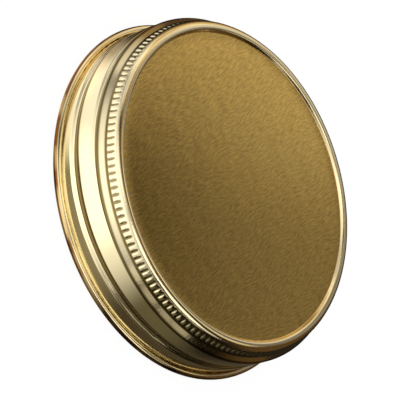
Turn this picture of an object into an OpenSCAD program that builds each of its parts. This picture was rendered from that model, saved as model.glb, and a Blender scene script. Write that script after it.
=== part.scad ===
// One-piece screw lid for a wide-mouth jar.
// The cap is a single sheet of tinplate: a flat recessed panel, a raised bead, a rounded
// shoulder with pressed flutes, a rolled right-hand thread and an outward curl at the rim.
// A flowed-in sealing ring lies in the channel under the bead.
// Origin: centre of the plane that the curl stands on. +Z is up, through the panel.

/* [Cap] */
// Diameter across the curl, the widest place
cap_d = 90; // [76:0.5:120]
// Height from the curl's lowest line to the crest of the bead
cap_h = 18.6; // [18:0.1:26]
// Thickness of the lacquered sheet
sheet_t = 0.24; // [0.2:0.01:0.28]

/* [Panel and bead] */
// Depth of the flat panel below the crest of the bead
panel_recess = 0.85; // [0.75:0.05:1.3]
// Slope of the bead's inner wall, from level
bead_slope = 55; // [45:1:65]
// Outside radius of the bead's inner shoulder
bead_r = 1.2; // [0.9:0.05:1.3]
// Fillet where the bead's inner wall meets the panel
foot_r = 0.3; // [0.2:0.05:0.4]

/* [Shoulder] */
// Outside radius of the crown, from the crest outwards
crown_r = 2.1; // [1.8:0.1:2.4]
// Angle, above level, at which the crown passes into the shoulder
crown_angle = 40; // [35:1:45]
// Outside radius of the shoulder below the crown
shoulder_r = 3.4; // [2.8:0.1:3.5]
// Angle, above level, at which the tucked-in shoulder ends and the step begins
shoulder_end = -8; // [-12:1:-5]
// How far the knurled shoulder stands inside the skirt
shoulder_inset = 1.35; // [1.15:0.01:1.5]
// Fillet radius of the step between shoulder and skirt
step_r = 0.4; // [0.35:0.05:0.5]
// Angle, above level, of the step's surface normal
step_angle = 65; // [60:1:70]

/* [Knurl] */
// Number of pressed flutes around the shoulder
flute_count = 150; // [90:6:150]
// Width of a flute where it opens
flute_w = 1.04; // [0.8:0.02:1.1]
// Width of a flute's floor
flute_floor_w = 0.5; // [0.4:0.02:0.6]
// Depth of a flute at its middle
flute_depth = 0.35; // [0.25:0.01:0.4]
// Angle, above level, of the shoulder's lowest fluted line
flute_low = 0; // [0:1:4]
// Angle, above level, of the shoulder's highest fluted line
flute_high = 38; // [35:1:38]

/* [Thread] */
// Rise of the thread in one turn
thread_pitch = 7.3; // [6.8:0.1:7.8]
// Turns of thread, with its run-outs
thread_turns = 1.39; // [1:0.01:1.4]
// Depth of the rolled groove
thread_depth = 0.6; // [0.4:0.05:0.8]
// Height of the groove's steep lower side
thread_low_w = 0.7; // [0.6:0.05:0.9]
// Height of the groove's gentle upper side
thread_high_w = 2.4; // [2:0.1:2.8]
// Height of the groove's floor where it starts
thread_z = 3.4; // [3.05:0.05:3.5]
// Direction in which the groove starts, from +X
thread_start = 150; // [0:5:355]
// Angle over which the groove fades at each end
thread_runout = 14; // [10:1:25]

/* [Curl] */
// Outside radius of the curl's tube
curl_r = 0.92; // [0.8:0.02:1.1]
// Gap between the curl's raw edge and the skirt
curl_gap = 0.06; // [0.04:0.01:0.15]

/* [Sealing ring] */
// Thickness of the sealing ring under the crest
seal_h = 1.3; // [1:0.05:1.6]
// Rounding of the sealing ring's lower edges
seal_r = 0.35; // [0.2:0.05:0.45]

/* [Hidden] */

arc_step = 10;       // degrees of arc for one straight of the section
band_cols = 72;      // facets round the rolled skirt
band_rows = 30;      // facets up the rolled skirt
band_margin = 0.3;   // plain skirt left above the curl
thread_clear = 1.5;  // height below the step over which the groove dies away
lip = 0.08;          // height over which the faceted skirt narrows before the sheet that it joins
lip_bite = 0.06;     // how far the narrowed edge reaches into that sheet
lip_out = 0.08;      // how far inside the outer face the narrowed edge lies
lip_in = 0.12;       // how far outside the inner face the narrowed edge lies
tool_out = 0.3;      // how far a cutting tool starts outside the sheet

skirt_r = cap_d / 2 - 2 * curl_r + sheet_t;
// radius and height of the crown's centre, under the crest of the bead
crest_x = skirt_r - shoulder_inset - (shoulder_r * cos(shoulder_end)
          - (shoulder_r - crown_r) * cos(crown_angle));
crown_c = [crest_x, cap_h - crown_r];
shoulder_c = crown_c - (shoulder_r - crown_r) * dir(crown_angle);
bead_c = [crest_x, cap_h - bead_r];
panel_z = cap_h - panel_recess;
curl_c = [skirt_r + curl_r - sheet_t, curl_r];
curl_end = acos((sheet_t + curl_gap) / curl_r - 1);

// A unit direction in the section, from an angle above level.
function dir(a) = [cos(a), sin(a)];

// Points of an arc about c, from angle a0 to angle a1.
function arc(c, r, a0, a1) =
    let (n = ceil(abs(a1 - a0) / arc_step - 0.001))
    [for (i = [0 : n]) c + r * dir(a0 + (a1 - a0) * i / n)];

function reverse(p) = [for (i = [len(p) - 1 : -1 : 0]) p[i]];

// ---- the sheet's section: face(0) is its upper or outer face, face(sheet_t) its inner face ----

// Fillet between the panel and the bead's inner wall, whose slope sets where it stands.
bead_wall = (panel_recess - (bead_r + foot_r) * (1 - cos(bead_slope))) / sin(bead_slope);
foot_c = bead_c + (bead_r + foot_r) * dir(90 + bead_slope)
         - bead_wall * dir(bead_slope);
function foot_face(k) = arc(foot_c, foot_r + k, 270, 270 + bead_slope);
function bead_face(k) = arc(bead_c, bead_r - k, 90 + bead_slope, 90);
function crown_face(k) = arc(crown_c, crown_r - k, 90, crown_angle);
function shoulder_face(k) = arc(shoulder_c, shoulder_r - k, crown_angle, shoulder_end);

// Step from the shoulder out to the skirt: a hollow fillet, a cone and a round edge.
step_top_c = shoulder_c + (shoulder_r + step_r) * dir(shoulder_end);
step_cone = (skirt_r - step_r - step_top_c[0] + 2 * step_r * cos(step_angle)) / sin(step_angle);
step_low_c = step_top_c - 2 * step_r * dir(step_angle)
             + step_cone * dir(step_angle - 90);
function step_face(k) = concat(
    arc(step_top_c, step_r + k, 180 + shoulder_end, 180 + step_angle),
    arc(step_low_c, step_r - k, step_angle, 0));

function curl_face(k) = arc(curl_c, curl_r - sheet_t + k, 180, 360 + curl_end);

// The sheet above the rolled band, from the axis to the skirt, and the sheet below it.
function top_face(k) = concat([[0, panel_z - k]], foot_face(k), bead_face(k), crown_face(k),
                              shoulder_face(k), step_face(k));
function low_face(k) = concat([[skirt_r - k, band_low]], curl_face(k));

module revolved(outer, inner) {
    rotate_extrude($fn = 180) polygon(concat(outer, reverse(inner)));
}

// ---- rolled thread ----

band_low = 2 * curl_r + band_margin;
band_high = step_low_c[1];
thread_turn = 360 * thread_turns;

// Share of the full depth at angle a along the thread: 0 at its ends, 1 past the run-outs.
function fade(a) = let (near_end = min(a, thread_turn - a))
    near_end <= 0 ? 0 : pow(sin(90 * min(1, near_end / thread_runout)), 2);

// Depth of the groove at height v above its floor, as a share of the full depth. Its lower side
// has height low and its upper side has height high.
function hump(v, low, high) =
    v <= -low || v >= high ? 0 : pow(cos(90 * v / (v < 0 ? low : high)), 2);

// The groove's share of its depth at direction a and height z, over every turn that passes there.
// It dies away just under the step.
function rolled(a, z, low, high) =
    let (first = (a - thread_start + 720) % 360)
    min(1, (band_high - z) / thread_clear)
    * max([for (t = [first : 360 : first + 720])
           fade(t) * hump(z - thread_z - thread_pitch * t / 360, low, high)]);

// Skirt between the step and the curl. Its outer face sinks by the groove's depth, and its
// inner face stands in by as much, over sides that keep the wall near the sheet's thickness.
module rolled_skirt() {
    cols = band_cols;
    rows = band_rows;
    step = (band_high - band_low - 2 * lip) / (rows - 2);
    function is_end(j) = j == 0 || j == rows;
    function z_of(j) = j == 0 ? band_low - lip_bite
                     : j == rows ? band_high + lip_bite
                     : band_low + lip + step * (j - 1);
    function at(r, a, z) = [r * cos(a), r * sin(a), z];
    function sunk(i, j, more) = thread_depth
        * rolled(360 * i / cols, z_of(j), thread_low_w + 1.2 * more, thread_high_w + 0.5 * more);
    outer = [for (j = [0 : rows], i = [0 : cols - 1])
             let (r = skirt_r - (is_end(j) ? lip_out : sunk(i, j, 0)))
             at(r, 360 * i / cols, z_of(j))];
    inner = [for (j = [0 : rows], i = [0 : cols - 1])
             let (r = skirt_r - sheet_t + (is_end(j) ? lip_in : -sunk(i, j, sheet_t)))
             at(r, 360 * i / cols, z_of(j))];
    n = len(outer);
    last = rows * cols;
    outer_faces = [for (j = [0 : rows - 1], i = [0 : cols - 1])
        let (a = j * cols + i, b = j * cols + (i + 1) % cols)
        each [[a, a + cols, b], [b, a + cols, b + cols]]];
    inner_faces = [for (f = outer_faces) [n + f[0], n + f[2], n + f[1]]];
    rims = [for (i = [0 : cols - 1])
        let (k = (i + 1) % cols)
        each [[i, k, n + i], [k, n + k, n + i],
              [last + i, n + last + i, last + k], [last + k, n + last + i, n + last + k]]];
    polyhedron(concat(outer, inner), concat(outer_faces, inner_faces, rims), convexity = 8);
}

// ---- knurl ----

flute_mid = (flute_low + flute_high) / 2;
flute_half_l = shoulder_r * sin((flute_high - flute_low) / 2);
flute_sag = shoulder_r - sqrt(shoulder_r * shoulder_r - flute_half_l * flute_half_l);
flute_flank = (flute_w - flute_floor_w) / 2 / flute_depth; // flank's run for each unit of depth

// Straight cutter with a trapezoid section on the shoulder: half-width w0 at height x0 over the
// outer face and w1 at x1. The shoulder curves away under it, so a flute's ends run to a point.
module flute_bar(x0, w0, x1, w1, half_l) {
    translate([0, 0, -half_l])
        linear_extrude(2 * half_l)
            polygon([[x0, -w0], [x0, w0], [x1, w1], [x1, -w1]]);
}

module around_shoulder() {
    seat = shoulder_c + shoulder_r * dir(flute_mid);
    for (i = [0 : flute_count - 1])
        rotate([0, 0, 360 * i / flute_count])
            translate([seat[0], 0, seat[1]])
                rotate([0, -flute_mid, 0])
                    children();
}

module flutes() {
    around_shoulder()
        flute_bar(tool_out, flute_w / 2 + flute_flank * tool_out,
                  -flute_depth, flute_floor_w / 2, flute_half_l);
}

// The flutes' backs, which stand out inside the cap by as much as the flutes sink.
module flute_backs() {
    root = -(flute_sag + sheet_t) / 2;
    around_shoulder()
        flute_bar(root, flute_w / 2 + flute_flank * root + 1.25 * sheet_t,
                  -flute_depth - sheet_t, flute_floor_w / 2 + sheet_t / 2, flute_half_l);
}

// ---- pieces ----

module shell() {
    color("#A98B4E") {
        difference() {
            union() {
                revolved(top_face(0), top_face(sheet_t));
                flute_backs();
            }
            flutes();
        }
        rolled_skirt();
        revolved(low_face(0), low_face(sheet_t));
    }
}

// The ring's top follows the inner face of bead and crown, point for point.
module sealing_ring() {
    crown_pts = crown_face(sheet_t);
    top = concat(bead_face(sheet_t), [for (i = [1 : len(crown_pts) - 2]) crown_pts[i]]);
    low_z = cap_h - sheet_t - seal_h;
    in_x = top[0][0] + seal_r;
    out_x = top[len(top) - 1][0] - seal_r;
    color("#D9D2C0")
        rotate_extrude($fn = 180)
            polygon(concat(top,
                           arc([out_x, low_z + seal_r], seal_r, 0, -90),
                           arc([in_x, low_z + seal_r], seal_r, -90, -180)));
}

shell();
sealing_ring();
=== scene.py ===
"""One-piece screw lid for a wide-mouth jar, in gold-lacquered tinplate, on a pale floor."""

import bpy
import numpy as np
from mathutils import Matrix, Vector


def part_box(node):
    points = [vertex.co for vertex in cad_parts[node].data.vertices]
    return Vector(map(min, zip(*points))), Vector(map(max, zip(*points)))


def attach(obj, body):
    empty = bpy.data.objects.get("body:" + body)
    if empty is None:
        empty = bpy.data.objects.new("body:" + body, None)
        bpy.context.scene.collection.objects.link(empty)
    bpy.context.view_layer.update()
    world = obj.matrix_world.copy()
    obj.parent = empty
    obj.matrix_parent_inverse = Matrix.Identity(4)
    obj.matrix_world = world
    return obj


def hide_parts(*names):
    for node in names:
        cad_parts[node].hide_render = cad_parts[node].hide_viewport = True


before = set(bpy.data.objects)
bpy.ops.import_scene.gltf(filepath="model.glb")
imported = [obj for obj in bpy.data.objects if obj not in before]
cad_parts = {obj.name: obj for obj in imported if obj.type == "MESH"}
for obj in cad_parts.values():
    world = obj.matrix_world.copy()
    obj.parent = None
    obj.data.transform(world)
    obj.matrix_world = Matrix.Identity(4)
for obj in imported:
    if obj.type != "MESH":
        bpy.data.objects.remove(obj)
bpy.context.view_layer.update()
LOW, HIGH = (np.array(corner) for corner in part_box("shell"))

# ---- sizes in metres and angles in degrees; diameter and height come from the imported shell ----
MM = 0.001
CAP_H = HIGH[2]
SHEET = 0.24 * MM
CURL_R = 0.92 * MM
SKIRT_R = (HIGH[0] - LOW[0]) / 2 - 2 * CURL_R + SHEET

# the panel's rings of points; the first leaves a small hole at the axis, which a fan closes
PANEL_RINGS = np.array([0.02, 12, 24, 36]) * MM
PANEL_RECESS = 0.85 * MM
BEAD_SLOPE = 55.0
# the part's bead has 1.2 mm; a tighter one has a longer inner wall
BEAD_R = 0.8 * MM
FOOT_R = 0.3 * MM
CROWN_R = 2.1 * MM
CROWN_ANGLE = 40.0
SHOULDER_R = 3.4 * MM
SHOULDER_END = -8.0
SHOULDER_INSET = 1.35 * MM
STEP_R = 0.4 * MM
# how far up the step faces; the part's faces up by 65, and one that faces more outwards mirrors
# more of the light from the side
STEP_ANGLE = 45.0

FLUTES = 150
FLUTE_W = 1.04 * MM
FLUTE_FLOOR_W = 0.5 * MM
FLUTE_DEPTH = 0.35 * MM
FLUTE_LOW = 0.0
FLUTE_HIGH = 38.0
# what the sheet's thickness adds to half a flute's width on the inner face
FLUTE_WIDER_IN = 0.12 * MM
# along a flute, from -1 at its foot to 1 at its top: where it starts to narrow, the share of its
# width that is left at the top, and the lengths over which its depth fades at top and foot
FLUTE_NARROWS = -0.1
FLUTE_TOP_SHARE = 0.5
FLUTE_TOP_FADE = 0.55
FLUTE_FOOT_FADE = 0.28
# section angles between which the shoulder has the fine columns
KNURL_TOP = CROWN_ANGLE - 0.6
KNURL_FOOT = SHOULDER_END + 1.2

THREAD_PITCH = 7.3 * MM
THREAD_TURN = 360 * 1.39
THREAD_DEPTH = 0.6 * MM
THREAD_LOW_W = 0.7 * MM
THREAD_HIGH_W = 2.4 * MM
# what the groove's two sides gain in width on a face further in, as a share of how far in it lies
THREAD_LOW_SPREAD = 1.2
THREAD_HIGH_SPREAD = 0.5
THREAD_Z = 3.4 * MM
THREAD_CLEAR = 1.5 * MM
THREAD_START = 150.0
THREAD_RUNOUT = 14.0

CURL_GAP = 0.06 * MM
CURL_END = np.degrees(np.arccos((SHEET + CURL_GAP) / CURL_R - 1))
SKIRT_FOOT_GAP = 0.3 * MM
SEAL_H = 1.3 * MM
SEAL_R = 0.35 * MM
# section angle at which the compound ends on the crown
SEAL_ANGLE = CROWN_ANGLE + 10
# the underside's ripple, and how far above the underside's level points still ripple with it
SEAL_RIPPLE = 0.02 * MM
SEAL_RIPPLES_TO = 0.1 * MM

# columns round the cap: each count is a whole multiple of the one that it is stitched to
COARSE, MEDIUM, KNURL_IN, KNURL_OUT = 250, 500, 750, 1500


def toward(angle):
    """Unit vector in the section at an angle above level, in degrees."""
    return np.stack([np.cos(np.radians(angle)), np.sin(np.radians(angle))], -1)


def arc(centre, radius, start, end, count):
    """count points (r, z) on a circle's arc from the start angle to the end angle."""
    return centre + radius * toward(np.linspace(start, end, count))


# ---- centres of the section's arcs, worked out as the part's source does ----
CREST_X = (SKIRT_R - SHOULDER_INSET - SHOULDER_R * toward(SHOULDER_END)[0]
           + (SHOULDER_R - CROWN_R) * toward(CROWN_ANGLE)[0])
CROWN_C = np.array([CREST_X, CAP_H - CROWN_R])
SHOULDER_C = CROWN_C - (SHOULDER_R - CROWN_R) * toward(CROWN_ANGLE)
BEAD_C = np.array([CREST_X, CAP_H - BEAD_R])
PANEL_Z = CAP_H - PANEL_RECESS
BEAD_WALL = ((PANEL_RECESS - (BEAD_R + FOOT_R) * (1 - toward(BEAD_SLOPE)[0]))
             / toward(BEAD_SLOPE)[1])
FOOT_C = BEAD_C + (BEAD_R + FOOT_R) * toward(90 + BEAD_SLOPE) - BEAD_WALL * toward(BEAD_SLOPE)
STEP_TOP_C = SHOULDER_C + (SHOULDER_R + STEP_R) * toward(SHOULDER_END)
STEP_CONE = ((SKIRT_R - STEP_R - STEP_TOP_C[0] + 2 * STEP_R * toward(STEP_ANGLE)[0])
             / toward(STEP_ANGLE)[1])
STEP_LOW_C = STEP_TOP_C - 2 * STEP_R * toward(STEP_ANGLE) + STEP_CONE * toward(STEP_ANGLE - 90)
CURL_C = np.array([SKIRT_R + CURL_R - SHEET, CURL_R])
SKIRT_LOW, SKIRT_HIGH = 2 * CURL_R + SKIRT_FOOT_GAP, STEP_LOW_C[1]


def smooth(x):
    """Smooth step: 0 below 0, 1 above 1, 3x^2 - 2x^3 between."""
    x = np.clip(x, 0, 1)
    return x * x * (3 - 2 * x)


def turns(columns):
    """Directions of a ring's columns, in degrees."""
    return 360 * np.arange(columns) / columns


def rolled(turn, z, inside):
    """Share of the thread groove's depth at direction turn (degrees) and height z, on a face that
    lies so far inside the outer one. Across the groove it is a quarter wave of a squared cosine on
    the steep lower side and a longer one on the gentle upper side, on a helix that rises by the
    pitch each turn. A squared sine fades it at each end, and a straight line fades it under the
    step. Where two turns meet, the deeper counts."""
    deepest = np.zeros(np.broadcast(turn, z).shape)
    for lap in range(int(THREAD_TURN // 360) + 1):
        along = (turn - THREAD_START) % 360 + 360 * lap
        near_end = np.minimum(along, THREAD_TURN - along)
        fade = np.sin(np.radians(90 * np.clip(near_end / THREAD_RUNOUT, 0, 1))) ** 2
        off = z - THREAD_Z - THREAD_PITCH * along / 360
        off = off / np.where(off < 0, THREAD_LOW_W + THREAD_LOW_SPREAD * inside,
                             THREAD_HIGH_W + THREAD_HIGH_SPREAD * inside)
        across = np.where(np.abs(off) < 1, np.cos(np.pi / 2 * off) ** 2, 0)
        deepest = np.maximum(deepest, fade * across)
    return deepest * np.clip((SKIRT_HIGH - z) / THREAD_CLEAR, 0, 1)


def fluted(turn, angle, wider):
    """Depth of the knurl at direction turn and section angle, in degrees. Across, each flute is a
    soft trapezoid, with wider added to half its width. Along, its floor is a chord of the shoulder,
    deepest in the middle. The flute narrows by a smooth step as it climbs, and smooth steps fade it
    out, slowly at the top and quickly at the foot."""
    pitch = 360 / FLUTES
    middle, half = (FLUTE_LOW + FLUTE_HIGH) / 2, (FLUTE_HIGH - FLUTE_LOW) / 2
    lift = (angle - middle) / half
    radius = SHOULDER_C[0] + SHOULDER_R * toward(angle)[..., 0]
    across = np.abs((turn + pitch / 2) % pitch - pitch / 2) * np.pi / 180 * radius
    narrow = smooth((lift - FLUTE_NARROWS) / (1 - FLUTE_NARROWS))
    taper = 1 - (1 - FLUTE_TOP_SHARE) * narrow
    opening = (FLUTE_W / 2 + wider) * taper
    floor = (FLUTE_FLOOR_W / 2 + wider / 2) * taper
    side = smooth((opening - across) / (opening - floor))
    ends = smooth((1 - lift) / FLUTE_TOP_FADE) * smooth((1 + lift) / FLUTE_FOOT_FADE)
    chord = 1 - SHOULDER_R * (1 - toward(angle - middle)[..., 0]) / FLUTE_DEPTH
    return FLUTE_DEPTH * side * ends * chord


def raw_edge(turn):
    """Angle by which the curl's cut edge runs ahead, in degrees, as a rolled edge puckers: 3 less
    than the sum of a slow wave of 5 to the round, a wave of 61 times a wave of 7, and a wave of 97
    whose spacing drifts with a wave of 11."""
    turn = np.radians(turn)
    return (2.0 * np.sin(5 * turn + 0.7) + 2.4 * np.sin(61 * turn) * np.sin(7 * turn + 1.1)
            + 2.6 * np.sin(97 * turn + 2.0 * np.sin(11 * turn)) - 3.0)


class Skin:
    """A closed surface of revolution, collected ring zone by ring zone along its section."""

    def __init__(self):
        self.points, self.faces, self.count, self.last = [], [], 0, None

    def zone(self, r, z, columns):
        """Adds rows of points at radius r and height z, each row closed round the axis, and
        stitches its first row to the row before. r and z are (rows, columns) or (rows, 1)."""
        turn = 2 * np.pi * np.arange(columns) / columns
        rows = max(len(r), len(z))
        r, z = (np.broadcast_to(a, (rows, columns)) for a in (r, z))
        self.points.append(np.stack([r * np.cos(turn), r * np.sin(turn), z], -1).reshape(-1, 3))
        index = self.count + np.arange(rows * columns).reshape(rows, columns)
        self.count += rows * columns
        if self.last is not None:
            self.stitch(self.last, index[0])
        after = np.roll(index, -1, axis=1)
        quads = np.stack([index[:-1], index[1:], after[1:], after[:-1]], -1)
        self.faces.append(quads.reshape(-1, 4))
        self.last = index[-1]

    def stitch(self, upper, lower):
        """Joins two rings. Where one has several columns to the other's one, the first half of
        them meets the near corner and the rest the far corner, with one face between."""
        if len(upper) == len(lower):
            self.faces.append(np.stack([upper, lower, np.roll(lower, -1), np.roll(upper, -1)], -1))
            return
        few, many = sorted((upper, lower), key=len)
        ratio = len(many) // len(few)
        fine = np.append(many, many[0])
        start = np.arange(len(few)) * ratio
        near, far = few, np.roll(few, -1)
        half = (ratio + 1) // 2
        tris = [np.stack([near, fine[start + i], fine[start + i + 1]], -1) for i in range(half)]
        tris.append(np.stack([near, fine[start + half], far], -1))
        tris += [np.stack([far, fine[start + i], fine[start + i + 1]], -1)
                 for i in range(half, ratio)]
        tris = np.concatenate(tris)
        self.faces.append(tris if few is upper else tris[:, ::-1])

    def fan(self, ring, z):
        """Closes a ring with triangles to one point on the axis at height z."""
        self.points.append(np.array([[0.0, 0.0, z]]))
        tip = np.full(len(ring), self.count)
        self.faces.append(np.stack([ring, tip, np.roll(ring, -1)], -1))
        self.count += 1

    def plain(self, section, columns):
        """Adds a zone with the same section (r, z) all round."""
        self.zone(section[:, :1], section[:, 1:], columns)

    def knurled(self, angles, inside, columns, wider):
        """Adds the shoulder's arc at these section angles, so far inside its outer face, with the
        flutes sunk square to it."""
        out = toward(angles)
        radius = SHOULDER_R - inside - fluted(turns(columns), angles[:, None], wider)
        self.zone(SHOULDER_C[0] + radius * out[:, :1], SHOULDER_C[1] + radius * out[:, 1:], columns)

    def threaded(self, heights, inside, columns):
        """Adds the skirt at these heights, so far inside its outer face, with the thread rolled
        into it."""
        sunk = THREAD_DEPTH * rolled(turns(columns), heights[:, None], inside)
        self.zone(SKIRT_R - inside - sunk, heights[:, None], columns)

    def mesh(self, name):
        """Makes the collected points and faces a smooth-shaded object."""
        data = bpy.data.meshes.new(name)
        data.from_pydata(np.concatenate(self.points).tolist(), [],
                         [face for block in self.faces for face in block.tolist()])
        data.update()
        data.shade_smooth()
        made = bpy.data.objects.new(name, data)
        bpy.context.collection.objects.link(made)
        return made


def disc(z):
    """Section of the flat panel at height z, from the axis out."""
    return np.stack([PANEL_RINGS, np.full(len(PANEL_RINGS), z)], -1)


def curled(inside, count):
    """Radius and height of the curl's outer face, or of the inner one where inside is the sheet's
    thickness: count points on a circle from the skirt down, out and round to a cut edge whose angle
    waves round the rim. The waves grow over the last half of the circle, by a smooth step."""
    reach = np.linspace(0, 1, count)[:, None]
    angle = 180 + reach * (180 + CURL_END + raw_edge(turns(MEDIUM)) * smooth(reach * 2 - 1))
    tube = toward(angle) * (CURL_R - SHEET + inside)
    return CURL_C[0] + tube[..., 0], CURL_C[1] + tube[..., 1]


def shell_piece():
    """The pressed sheet: from the panel's centre out over bead, crown, knurled shoulder, step and
    threaded skirt into the curl, round the curl's cut edge, and back along the inner face."""
    skin = Skin()
    skin.plain(disc(PANEL_Z), COARSE)
    skin.plain(arc(FOOT_C, FOOT_R, 270, 270 + BEAD_SLOPE, 6), MEDIUM)
    skin.plain(arc(BEAD_C, BEAD_R, 90 + BEAD_SLOPE, 90, 9), MEDIUM)
    skin.plain(arc(CROWN_C, CROWN_R, 90, CROWN_ANGLE, 10)[1:], MEDIUM)
    skin.knurled(np.linspace(KNURL_TOP, KNURL_FOOT, 17), 0, KNURL_OUT, 0)
    skin.plain(arc(STEP_TOP_C, STEP_R, 180 + SHOULDER_END, 180 + STEP_ANGLE, 5), MEDIUM)
    skin.plain(arc(STEP_LOW_C, STEP_R, STEP_ANGLE, 0, 6), MEDIUM)
    skin.threaded(np.linspace(SKIRT_HIGH, SKIRT_LOW, 48)[1:], 0, MEDIUM)
    r, z = curled(0, 9)
    skin.zone(r[1:], z[1:], MEDIUM)
    r, z = curled(SHEET, 30)
    skin.zone(r[::-1], z[::-1], MEDIUM)
    skin.threaded(np.linspace(SKIRT_LOW, SKIRT_HIGH, 30), SHEET, COARSE)
    skin.plain(arc(STEP_LOW_C, STEP_R - SHEET, 0, STEP_ANGLE, 4)[1:], COARSE)
    skin.plain(arc(STEP_TOP_C, STEP_R + SHEET, 180 + STEP_ANGLE, 180 + SHOULDER_END, 4), COARSE)
    skin.knurled(np.linspace(KNURL_FOOT, KNURL_TOP, 12), SHEET, KNURL_IN, FLUTE_WIDER_IN)
    skin.plain(arc(CROWN_C, CROWN_R - SHEET, CROWN_ANGLE, 90, 7), COARSE)
    skin.plain(arc(BEAD_C, BEAD_R - SHEET, 90, 90 + BEAD_SLOPE, 5)[1:], COARSE)
    skin.plain(arc(FOOT_C, FOOT_R + SHEET, 270 + BEAD_SLOPE, 270, 4), COARSE)
    skin.plain(disc(PANEL_Z - SHEET)[::-1], COARSE)
    skin.fan(skin.last, PANEL_Z - SHEET)
    skin.fan(np.arange(COARSE)[::-1], PANEL_Z)
    return skin


def seal_piece():
    """The flowed-in ring: a closed loop that follows the inner face of bead and crown above and
    lies flat below, between rounded edges. Two sines round the cap ripple its underside."""
    top = np.concatenate([arc(BEAD_C, BEAD_R - SHEET, 90 + BEAD_SLOPE, 90, 9),
                          arc(CROWN_C, CROWN_R - SHEET, 90, SEAL_ANGLE, 8)[1:]])
    low = CAP_H - SHEET - SEAL_H
    outer, inner = top[-1, 0] - SEAL_R, top[0, 0] + SEAL_R
    bottom = np.concatenate([arc([outer, low + SEAL_R], SEAL_R, 0, -90, 6),
                             arc([inner, low + SEAL_R], SEAL_R, -90, -180, 6)])
    section = np.concatenate([top, bottom])
    turn = np.radians(turns(COARSE))
    ripple = SEAL_RIPPLE * (np.sin(9 * turn) + np.sin(23 * turn + 1) + 2)
    lift = np.where(section[:, 1:] < low + SEAL_RIPPLES_TO, ripple, 0)
    skin = Skin()
    skin.zone(section[:, :1], section[:, 1:] + lift, COARSE)
    skin.stitch(skin.last, np.arange(COARSE))
    return skin


# ---- materials ----

# lacquer: thick on the panel, thin where the sheet is stretched, and on the curl two tones of painted
# reflection; and painted shade in the recesses and undersides
THICK_GOLD, THIN_GOLD, PAINTED_REFLECTION_DARK, PAINTED_REFLECTION_PALE = "#E6BD67", "#F1E2B8", "#7A4C1C", "#CDAA70"
PAINTED_SHADE = "#74643A"
# half the width of the ring in which the thick lacquer gives way to the thin, at the bead's foot
THINS_OVER = 0.1 * MM
# distances in from the lid's edge at which the curl's painted amber reflection begins and is full,
# and its blotches
REFLECTION_FROM, REFLECTION_FULL = 0.45 * MM, 0.15 * MM
REFLECTION_BLOTCH = 8 * MM

# rubbed strokes: length, width, depth, the two directions they run in, and the patches of each
GRAIN_L, GRAIN_W, GRAIN_DEPTH = 2.2 * MM, 0.42 * MM, 0.045 * MM
GRAIN_TURNS = (94, 110)
GRAIN_PATCH = 7 * MM
DENT_W, DENT_DEPTH = 9 * MM, 0.15 * MM
CLOUD_W, CLOUD_DEPTH = 2.5 * MM, 0.05 * MM

# painted shade lies in bands: a middle height, and half widths at which it is whole and gone
KNURL_FOOT_SHADE = (SHOULDER_C[1] + SHOULDER_R * toward(SHOULDER_END)[1] + 0.16 * MM,
                    0.25 * MM, 0.65 * MM)
STEP_FOOT_SHADE = (SKIRT_HIGH + 0.1 * MM, 0.2 * MM, 0.6 * MM)
FLUTE_SHADE = (CROWN_C[1], 0.8 * MM, 1.3 * MM)
FLUTE_SHADE_SHARE = 0.85
# heights at which the groove's undersides begin to take painted shade and take it all
UNDER_FROM, UNDER_FULL = 2.4 * MM, 3 * MM


def linear(code):
    """sRGB hex colour as linear RGBA."""
    raw = np.array([int(code[i:i + 2], 16) / 255 for i in (1, 3, 5)])
    low = raw <= 0.04045
    return (*np.where(low, raw / 12.92, ((raw + 0.055) / 1.055) ** 2.4).tolist(), 1.0)


def add(tree, kind, sockets=(), **settings):
    """Adds one node, with its settings, and gives each named or numbered socket its value or link."""
    made = tree.nodes.new(kind)
    for name, value in settings.items():
        setattr(made, name, value)
    for key, value in dict(sockets).items():
        if isinstance(value, bpy.types.NodeSocket):
            tree.links.new(value, made.inputs[key])
        else:
            made.inputs[key].default_value = value
    return made


def material(name):
    """A new material with an empty node tree."""
    made = bpy.data.materials.new(name)
    made.use_nodes = True
    made.node_tree.nodes.clear()
    return made, made.node_tree


def rubbed_grain(tree, place):
    """Short rubbed strokes: noise as long and as wide as a stroke, in two crossing directions that
    take turns in patches."""
    strokes = []
    for turn in GRAIN_TURNS:
        turned = add(tree, "ShaderNodeMapping", {
            "Vector": place, "Rotation": (0, 0, np.radians(-turn))})
        stretched = add(tree, "ShaderNodeVectorMath", {
            0: turned.outputs[0], 1: (1 / GRAIN_L, 1 / GRAIN_W, 1 / GRAIN_L)},
            operation="MULTIPLY")
        strokes.append(add(tree, "ShaderNodeTexNoise", {
            "Vector": stretched.outputs[0], "Scale": 1.0, "Detail": 2.0,
            "Roughness": 0.5}).outputs["Fac"])
    patches = add(tree, "ShaderNodeTexNoise", {
        "Vector": place, "Scale": 1 / GRAIN_PATCH, "Detail": 1.0}).outputs["Fac"]
    which = add(tree, "ShaderNodeMapRange", {
        "Value": patches, "From Min": 0.4, "From Max": 0.6}, interpolation_type="SMOOTHSTEP")
    return add(tree, "ShaderNodeMix", {
        0: which.outputs[0], 2: strokes[0], 3: strokes[1]}).outputs[0]


def band(tree, height, middle, whole, gone):
    """A band round the cap: 1 within whole of its middle height, 0 past gone, and a smooth step
    of the distance between."""
    off = add(tree, "ShaderNodeMath", {0: height, 1: middle}, operation="SUBTRACT")
    off = add(tree, "ShaderNodeMath", {0: off.outputs[0]}, operation="ABSOLUTE")
    return add(tree, "ShaderNodeMapRange", {
        "Value": off.outputs[0], "From Min": gone, "From Max": whole},
        interpolation_type="SMOOTHSTEP").outputs["Result"]


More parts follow.
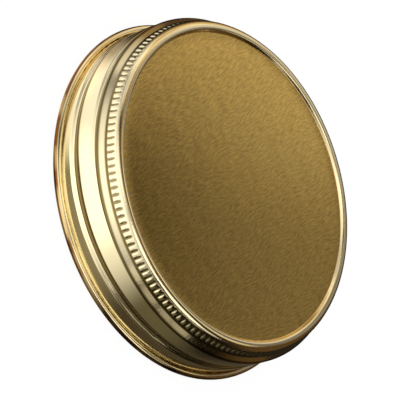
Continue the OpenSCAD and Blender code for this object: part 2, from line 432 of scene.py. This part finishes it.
def painted_recess_shade(tree, place, facing):
    """Painted shade, from 0 to 1: the most of the groove's undersides, the knurl's foot, the step's
    foot and the floors of the flutes, which are darkened where shade falls in them."""
    axes = add(tree, "ShaderNodeSeparateXYZ", {0: place}).outputs
    upward = add(tree, "ShaderNodeSeparateXYZ", {0: facing}).outputs["Z"]
    under = add(tree, "ShaderNodeMapRange", {
        "Value": upward, "From Min": -0.02, "From Max": -0.2},
        interpolation_type="SMOOTHSTEP").outputs["Result"]
    above_curl = add(tree, "ShaderNodeMapRange", {
        "Value": axes["Z"], "From Min": UNDER_FROM, "From Max": UNDER_FULL}).outputs["Result"]

    # floors of the flutes: the cosine of the turn times the count of flutes is 1 on each of them
    turn = add(tree, "ShaderNodeMath", {0: axes["Y"], 1: axes["X"]}, operation="ARCTAN2")
    laps = add(tree, "ShaderNodeMath", {0: turn.outputs[0], 1: float(FLUTES)}, operation="MULTIPLY")
    wave = add(tree, "ShaderNodeMath", {0: laps.outputs[0]}, operation="COSINE")
    floors = add(tree, "ShaderNodeMapRange", {
        "Value": wave.outputs[0], "From Min": 0.15, "From Max": 0.8, "To Max": FLUTE_SHADE_SHARE},
        interpolation_type="SMOOTHSTEP").outputs["Result"]

    in_grooves = add(tree, "ShaderNodeMath", {0: under, 1: above_curl}, operation="MULTIPLY")
    in_flutes = add(tree, "ShaderNodeMath", {
        0: floors, 1: band(tree, axes["Z"], *FLUTE_SHADE)}, operation="MULTIPLY")
    most = in_grooves.outputs[0]
    for share in (band(tree, axes["Z"], *KNURL_FOOT_SHADE),
                  band(tree, axes["Z"], *STEP_FOOT_SHADE), in_flutes.outputs[0]):
        most = add(tree, "ShaderNodeMath", {0: most, 1: share}, operation="MAXIMUM").outputs[0]
    return most


def lacquered_tinplate():
    """Cold-rolled steel sheet, tinned, roller-coated with clear gold lacquer, then pressed. The
    lacquer is thick and deep gold on the flat panel, and thin and pale where drawing the skirt
    stretched it. The curl's outer face carries a painted reflection in uneven amber, and the
    recesses and undersides a painted shade. The sheet's short rubbed grain breaks up the gloss
    all over, and shades the panel in strokes."""
    made, tree = material("gold_lacquered_tinplate")
    coords = add(tree, "ShaderNodeTexCoord").outputs
    place = coords["Object"]
    flat = add(tree, "ShaderNodeVectorMath", {0: place, 1: (1, 1, 0)}, operation="MULTIPLY")
    radius = add(tree, "ShaderNodeVectorMath", {0: flat.outputs[0]},
                 operation="LENGTH").outputs["Value"]
    bead_foot = FOOT_C[0] + FOOT_R * toward(BEAD_SLOPE)[1]
    drawn = add(tree, "ShaderNodeMapRange", {
        "Value": radius, "From Min": bead_foot - THINS_OVER, "From Max": bead_foot + THINS_OVER},
        interpolation_type="SMOOTHSTEP").outputs["Result"]

    grain = rubbed_grain(tree, place)
    shade = add(tree, "ShaderNodeMapRange", {
        "Value": grain, "From Min": 0.36, "From Max": 0.64, "To Min": 0.76, "To Max": 1.12})
    panel = add(tree, "ShaderNodeMix", {0: 1.0, 6: linear(THICK_GOLD), 7: shade.outputs[0]},
                data_type="RGBA", blend_type="MULTIPLY").outputs[2]
    colour = add(tree, "ShaderNodeMix", {0: drawn, 6: panel, 7: linear(THIN_GOLD)},
                 data_type="RGBA").outputs[2]

    # painted shade: off the panel, the recesses and undersides are darkened toward a dark olive
    painted_shade_share = add(tree, "ShaderNodeMath", {
        0: painted_recess_shade(tree, place, coords["Normal"]), 1: drawn}, operation="MULTIPLY")
    colour = add(tree, "ShaderNodeMix", {0: painted_shade_share.outputs[0], 6: colour, 7: linear(PAINTED_SHADE)},
                 data_type="RGBA").outputs[2]

    # painted reflection: the curl's outer face is coloured in blotched amber tones that stand in for
    # the brown it mirrors
    rim = add(tree, "ShaderNodeMapRange", {
        "Value": radius, "From Min": HIGH[0] - REFLECTION_FROM, "From Max": HIGH[0] - REFLECTION_FULL},
        interpolation_type="SMOOTHSTEP").outputs["Result"]
    blotch = add(tree, "ShaderNodeTexNoise", {
        "Vector": place, "Scale": 1 / REFLECTION_BLOTCH, "Detail": 1.0}).outputs["Fac"]
    blotch = add(tree, "ShaderNodeMapRange", {
        "Value": blotch, "From Min": 0.42, "From Max": 0.58}).outputs["Result"]
    painted_reflection = add(tree, "ShaderNodeMix", {0: blotch, 6: linear(PAINTED_REFLECTION_DARK), 7: linear(PAINTED_REFLECTION_PALE)},
                data_type="RGBA").outputs[2]
    colour = add(tree, "ShaderNodeMix", {0: rim, 6: colour, 7: painted_reflection}, data_type="RGBA").outputs[2]

    # the drawn skirt is a little glossier than the panel, and both are faintly dented
    polish = add(tree, "ShaderNodeMapRange", {"Value": drawn, "To Min": 0.17, "To Max": 0.13})
    dents = add(tree, "ShaderNodeTexNoise", {
        "Vector": place, "Scale": 1 / DENT_W, "Detail": 1.0}).outputs["Fac"]
    dented = add(tree, "ShaderNodeBump", {
        "Strength": 0.25, "Distance": DENT_DEPTH, "Height": dents})
    rubbed = add(tree, "ShaderNodeBump", {
        "Strength": 0.3, "Distance": GRAIN_DEPTH, "Height": grain, "Normal": dented.outputs[0]})
    metal = add(tree, "ShaderNodeBsdfPrincipled", {
        "Base Color": colour, "Metallic": 1.0, "Roughness": polish.outputs[0],
        "Normal": rubbed.outputs[0]})
    add(tree, "ShaderNodeOutputMaterial", {"Surface": metal.outputs[0]})
    return made


def sealing_compound():
    """Plastisol, poured soft into the channel and baked: pale, matt and slightly waxy, and clouded
    where it flowed unevenly."""
    made, tree = material("plastisol_sealing_compound")
    place = add(tree, "ShaderNodeTexCoord").outputs["Object"]
    cloud = add(tree, "ShaderNodeTexNoise", {
        "Vector": place, "Scale": 1 / CLOUD_W, "Detail": 3.0}).outputs["Fac"]
    colour = add(tree, "ShaderNodeMix", {0: cloud, 6: linear("#CFC6B0"), 7: linear("#DED7C6")},
                 data_type="RGBA").outputs[2]
    skin = add(tree, "ShaderNodeBump", {"Strength": 0.4, "Distance": CLOUD_DEPTH, "Height": cloud})
    body = add(tree, "ShaderNodeBsdfPrincipled", {
        "Base Color": colour, "Roughness": 0.55, "Normal": skin.outputs[0]})
    add(tree, "ShaderNodeOutputMaterial", {"Surface": body.outputs[0]})
    return made


shell = shell_piece().mesh("pressed_shell")
shell.data.materials.append(lacquered_tinplate())
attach(shell, "root")
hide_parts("shell")

seal = seal_piece().mesh("flowed_in_seal")
seal.data.materials.append(sealing_compound())
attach(seal, "root")
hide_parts("sealing_ring")

# ---- studio: a white floor and surround, and a dark cloth tent with soft lamps behind it ----


def paper(name, code, lit, glow):
    """Paper that diffuse light meets as paint, and that the camera and the metal see partly as an
    even white glow: lit is the glow's share and glow its strength."""
    made, tree = material(name)
    path = add(tree, "ShaderNodeLightPath").outputs
    seen = path["Is Camera Ray"]
    for ray in ("Is Glossy Ray", "Is Transmission Ray"):
        seen = add(tree, "ShaderNodeMath", {0: seen, 1: path[ray]}, operation="MAXIMUM").outputs[0]
    share = add(tree, "ShaderNodeMath", {0: seen, 1: lit}, operation="MULTIPLY")
    paint = add(tree, "ShaderNodeBsdfDiffuse", {"Color": linear(code)})
    white = add(tree, "ShaderNodeEmission", {"Color": (1, 1, 1, 1), "Strength": glow})
    both = add(tree, "ShaderNodeMixShader", {
        0: share.outputs[0], 1: paint.outputs[0], 2: white.outputs[0]})
    add(tree, "ShaderNodeOutputMaterial", {"Surface": both.outputs[0]})
    return made


def aim(azimuth, elevation):
    """Unit vector at an azimuth from +X and an elevation above the floor, in degrees."""
    a, e = np.radians(azimuth), np.radians(elevation)
    return (np.cos(e) * np.cos(a), np.cos(e) * np.sin(a), np.sin(e))


def pools(tree, way, base, lights):
    """Sum of a base colour and soft round pools of light, seen along unit vectors. A pool is full
    inside its inner angle, nothing past its outer angle, and a smooth step of the cosine between."""
    total = add(tree, "ShaderNodeCombineXYZ", enumerate(linear(base)[:3])).outputs[0]
    for azimuth, elevation, inner, outer, code, level in lights:
        off = add(tree, "ShaderNodeVectorMath", {0: way, 1: aim(azimuth, elevation)},
                  operation="DOT_PRODUCT")
        pool = add(tree, "ShaderNodeMapRange", {
            "Value": off.outputs["Value"], "From Min": np.cos(np.radians(outer)),
            "From Max": np.cos(np.radians(inner)), "To Max": level},
            interpolation_type="SMOOTHSTEP")
        tint = add(tree, "ShaderNodeVectorMath", {0: linear(code)[:3], 3: pool.outputs[0]},
                   operation="SCALE")
        total = add(tree, "ShaderNodeVectorMath", {0: total, 1: tint.outputs[0]},
                    operation="ADD").outputs[0]
    return total


def lit_cloth(name, base, lights, near=None):
    """Cloth lit from behind by soft lamps; on the cloth under the lid the pools are painted light and
    shadow of the floor. Near, where given, is a painted shadow beside the lid: its base and pools,
    with the two radii between which they give way to the others."""
    made, tree = material(name)
    place = add(tree, "ShaderNodeTexCoord").outputs["Object"]
    way = add(tree, "ShaderNodeVectorMath", {0: place}, operation="NORMALIZE").outputs[0]
    total = pools(tree, way, base, lights)
    if near:
        near_shadow_base, near_painted_pools, inner, outer = near
        reach = add(tree, "ShaderNodeVectorMath", {0: place}, operation="LENGTH")
        clear = add(tree, "ShaderNodeMapRange", {
            "Value": reach.outputs["Value"], "From Min": inner, "From Max": outer},
            interpolation_type="SMOOTHSTEP")
        total = add(tree, "ShaderNodeMix", {
            0: clear.outputs[0], 6: pools(tree, way, near_shadow_base, near_painted_pools), 7: total},
            data_type="RGBA").outputs[2]
    light = add(tree, "ShaderNodeEmission", {"Color": total})
    add(tree, "ShaderNodeOutputMaterial", {"Surface": light.outputs[0]})
    made.cycles.emission_sampling = "NONE"
    return made


def staged(name, points, faces, look):
    """A part of the studio, which isn't part of the lid."""
    data = bpy.data.meshes.new(name)
    data.from_pydata(points, [], faces)
    made = bpy.data.objects.new(name, data)
    bpy.context.collection.objects.link(made)
    data.materials.append(look)
    return made


def hung(name, points, look):
    """Cloth from points (rows, columns, 3), closed round its columns. It shows in the metal alone,
    and throws no shadow."""
    rows, columns = points.shape[:2]
    index = np.arange(rows * columns).reshape(rows, columns)
    after = np.roll(index, -1, axis=1)
    faces = np.stack([index[:-1], index[1:], after[1:], after[:-1]], -1).reshape(-1, 4)
    made = staged(name, points.reshape(-1, 3).tolist(), faces.tolist(), look)
    made.visible_camera = made.visible_diffuse = made.visible_shadow = False


# lamps: azimuth, elevation, inner angle and outer angle in degrees, colour and level
TENT_LIGHTS = [
    (246, 10, 30, 66, "#FFFFFF", 1.15),
    (248, 16, 10, 34, "#FFFFFF", 0.5),
    (180, 2, 8, 22, "#FFFFFF", 0.5),
    (304, 60, 13, 14.5, "#FFFFFF", 1.4),
    (345, 51, 12.5, 14, "#FFFFFF", 1.4),
    (138, 6, 12, 28, "#FFD79A", 0.28),
    (303, 35, 4, 6, "#FFF8E8", 0.5),
    (317, 31, 5, 7, "#FFF8E8", 0.45),
    (331, 27, 5, 7, "#FFF8E8", 0.4),
    (345, 28, 5, 7, "#FFF8E8", 0.4),
    (2, 38, 6, 9, "#FFF8E8", 0.7),
    (262, 72, 10, 20, "#FFFFFF", 0.4),
    (225, 62, 8, 17, "#FFFFFF", 0.7),
    (104, 61, 5, 8, "#FFF0D0", 0.75),
    (85, 62, 5, 8, "#FFF0D0", 0.75),
    (66, 60, 5, 8, "#FFF0D0", 0.8),
    (48, 50, 5, 12, "#FFF0D0", 0.7),
    (90, 82, 14, 26, "#FFD79A", 0.17),
    (172, 38, 10, 22, "#FFFFFF", 0.7),
    (166, 19, 7, 18, "#FFF8E8", 0.55),
    (145, 50, 8, 22, "#FFD79A", 0.35),
    (106, 28, 10, 22, "#FFFFFF", 0.29),
    (112, 30, 8, 24, "#FFFFFF", 0.2),
    (122, 42, 6, 20, "#FFF4E0", 0.27),
    (80, 30, 6, 24, "#FFFFFF", 0.24),
    (118, 12, 10, 22, "#FFE4B0", 0.36),
    (142, 30, 10, 22, "#FFE8C0", 0.5),
    (48, 14, 8, 40, "#E0B070", 0.12),
]
# painted floor light and shadow, seen in the metal alone: bright where light falls on the floor, dark
# on the side of the lid's shadow
PAINTED_FLOOR_POOLS = [
    (240, 0, 30, 66, "#FFFFFF", 1.15),
    (254, 0, 8, 28, "#FFFFFF", 0.5),
    (300, 0, 10, 40, "#F0E8B8", 0.12),
    (122, 0, 8, 30, "#E8A860", 0.12),
]
# painted contact shadow beside the lid, lighter on the side that the light falls on
PAINTED_NEAR_LID_POOLS = [
    (221, 0, 4, 28, "#FFFAF0", 1.05),
    (262, 0, 10, 40, "#FFF4D0", 0.22),
    (203, 0, 5, 22, "#FFE8C8", 0.4),
]
TENT_R = 0.35
TENT_TOP = 89.9
CLOTH_COLUMNS = 96
TABLE_HOLE_R = 0.02
TABLE_Z = -0.02 * MM
NEAR_END, FAR_START = 48.5 * MM, 52 * MM
FLOOR_Z = -0.04 * MM
FLOOR_HALF = 4

# half sphere: rings of points at even steps of elevation, taken backwards so that it faces inwards
rise, around = np.meshgrid(np.radians(np.linspace(TENT_TOP, 0, 40)),
                           np.radians(turns(CLOTH_COLUMNS)), indexing="ij")
dome = TENT_R * np.stack([np.cos(rise) * np.cos(around), np.cos(rise) * np.sin(around),
                          np.sin(rise)], -1)
hung("light_tent", dome[:, ::-1], lit_cloth("tent_cloth", "#1A140C", TENT_LIGHTS))

# flat ring on the table, from under the lid out to the tent, seen in the metal alone: painted light
# # and shadow of the floor, darkest in a painted contact shadow near the lid
reach, around = np.meshgrid(np.linspace(TABLE_HOLE_R, TENT_R, 12),
                            np.radians(turns(CLOTH_COLUMNS)), indexing="ij")
table = np.stack([reach * np.cos(around), reach * np.sin(around), np.full(reach.shape, TABLE_Z)], -1)
hung("painted_floor_light_and_shadow", table, lit_cloth("painted_floor_light_and_shadow", "#2A2620", PAINTED_FLOOR_POOLS,
                                     ("#4A4234", PAINTED_NEAR_LID_POOLS, NEAR_END, FAR_START)))

corners = [(FLOOR_HALF * x, FLOOR_HALF * y, FLOOR_Z) for x, y in ((-1, -1), (1, -1), (1, 1), (-1, 1))]
staged("floor", corners, [(0, 1, 2, 3)], paper("white_paper", "#F4F4F4", 0.9, 1.03))

world = bpy.data.worlds.new("surround")
bpy.context.scene.world = world
world.use_nodes = True
sky = world.node_tree.nodes["Background"]
sky.inputs["Color"].default_value = (1, 1, 1, 1)
sky.inputs["Strength"].default_value = 1.0

# ---- camera: long lens, rolled so that the lid's near side lies at the left ----
VIEW_TARGET = np.array([0.85, -4.64, 9.3]) * MM
VIEW_DISTANCE = 0.6821
VIEW_AZIMUTH, VIEW_ELEVATION, VIEW_ROLL = -90.0, 40.69, 72.63
SENSOR_MM, FOCAL_MM = 36.0, 251.3

lens = bpy.data.cameras.new("camera")
lens.sensor_width = SENSOR_MM
lens.lens = FOCAL_MM
lens.clip_start = 0.05
camera = bpy.data.objects.new("camera", lens)
bpy.context.collection.objects.link(camera)
turned = (Matrix.Rotation(np.radians(VIEW_AZIMUTH + 90), 4, "Z")
          @ Matrix.Rotation(np.radians(90 - VIEW_ELEVATION), 4, "X")
          @ Matrix.Rotation(np.radians(VIEW_ROLL), 4, "Z"))
camera.matrix_world = (Matrix.Translation(VIEW_TARGET) @ turned
                       @ Matrix.Translation((0, 0, VIEW_DISTANCE)))
bpy.context.scene.camera = camera

view = bpy.context.scene.view_settings
view.view_transform = "Standard"
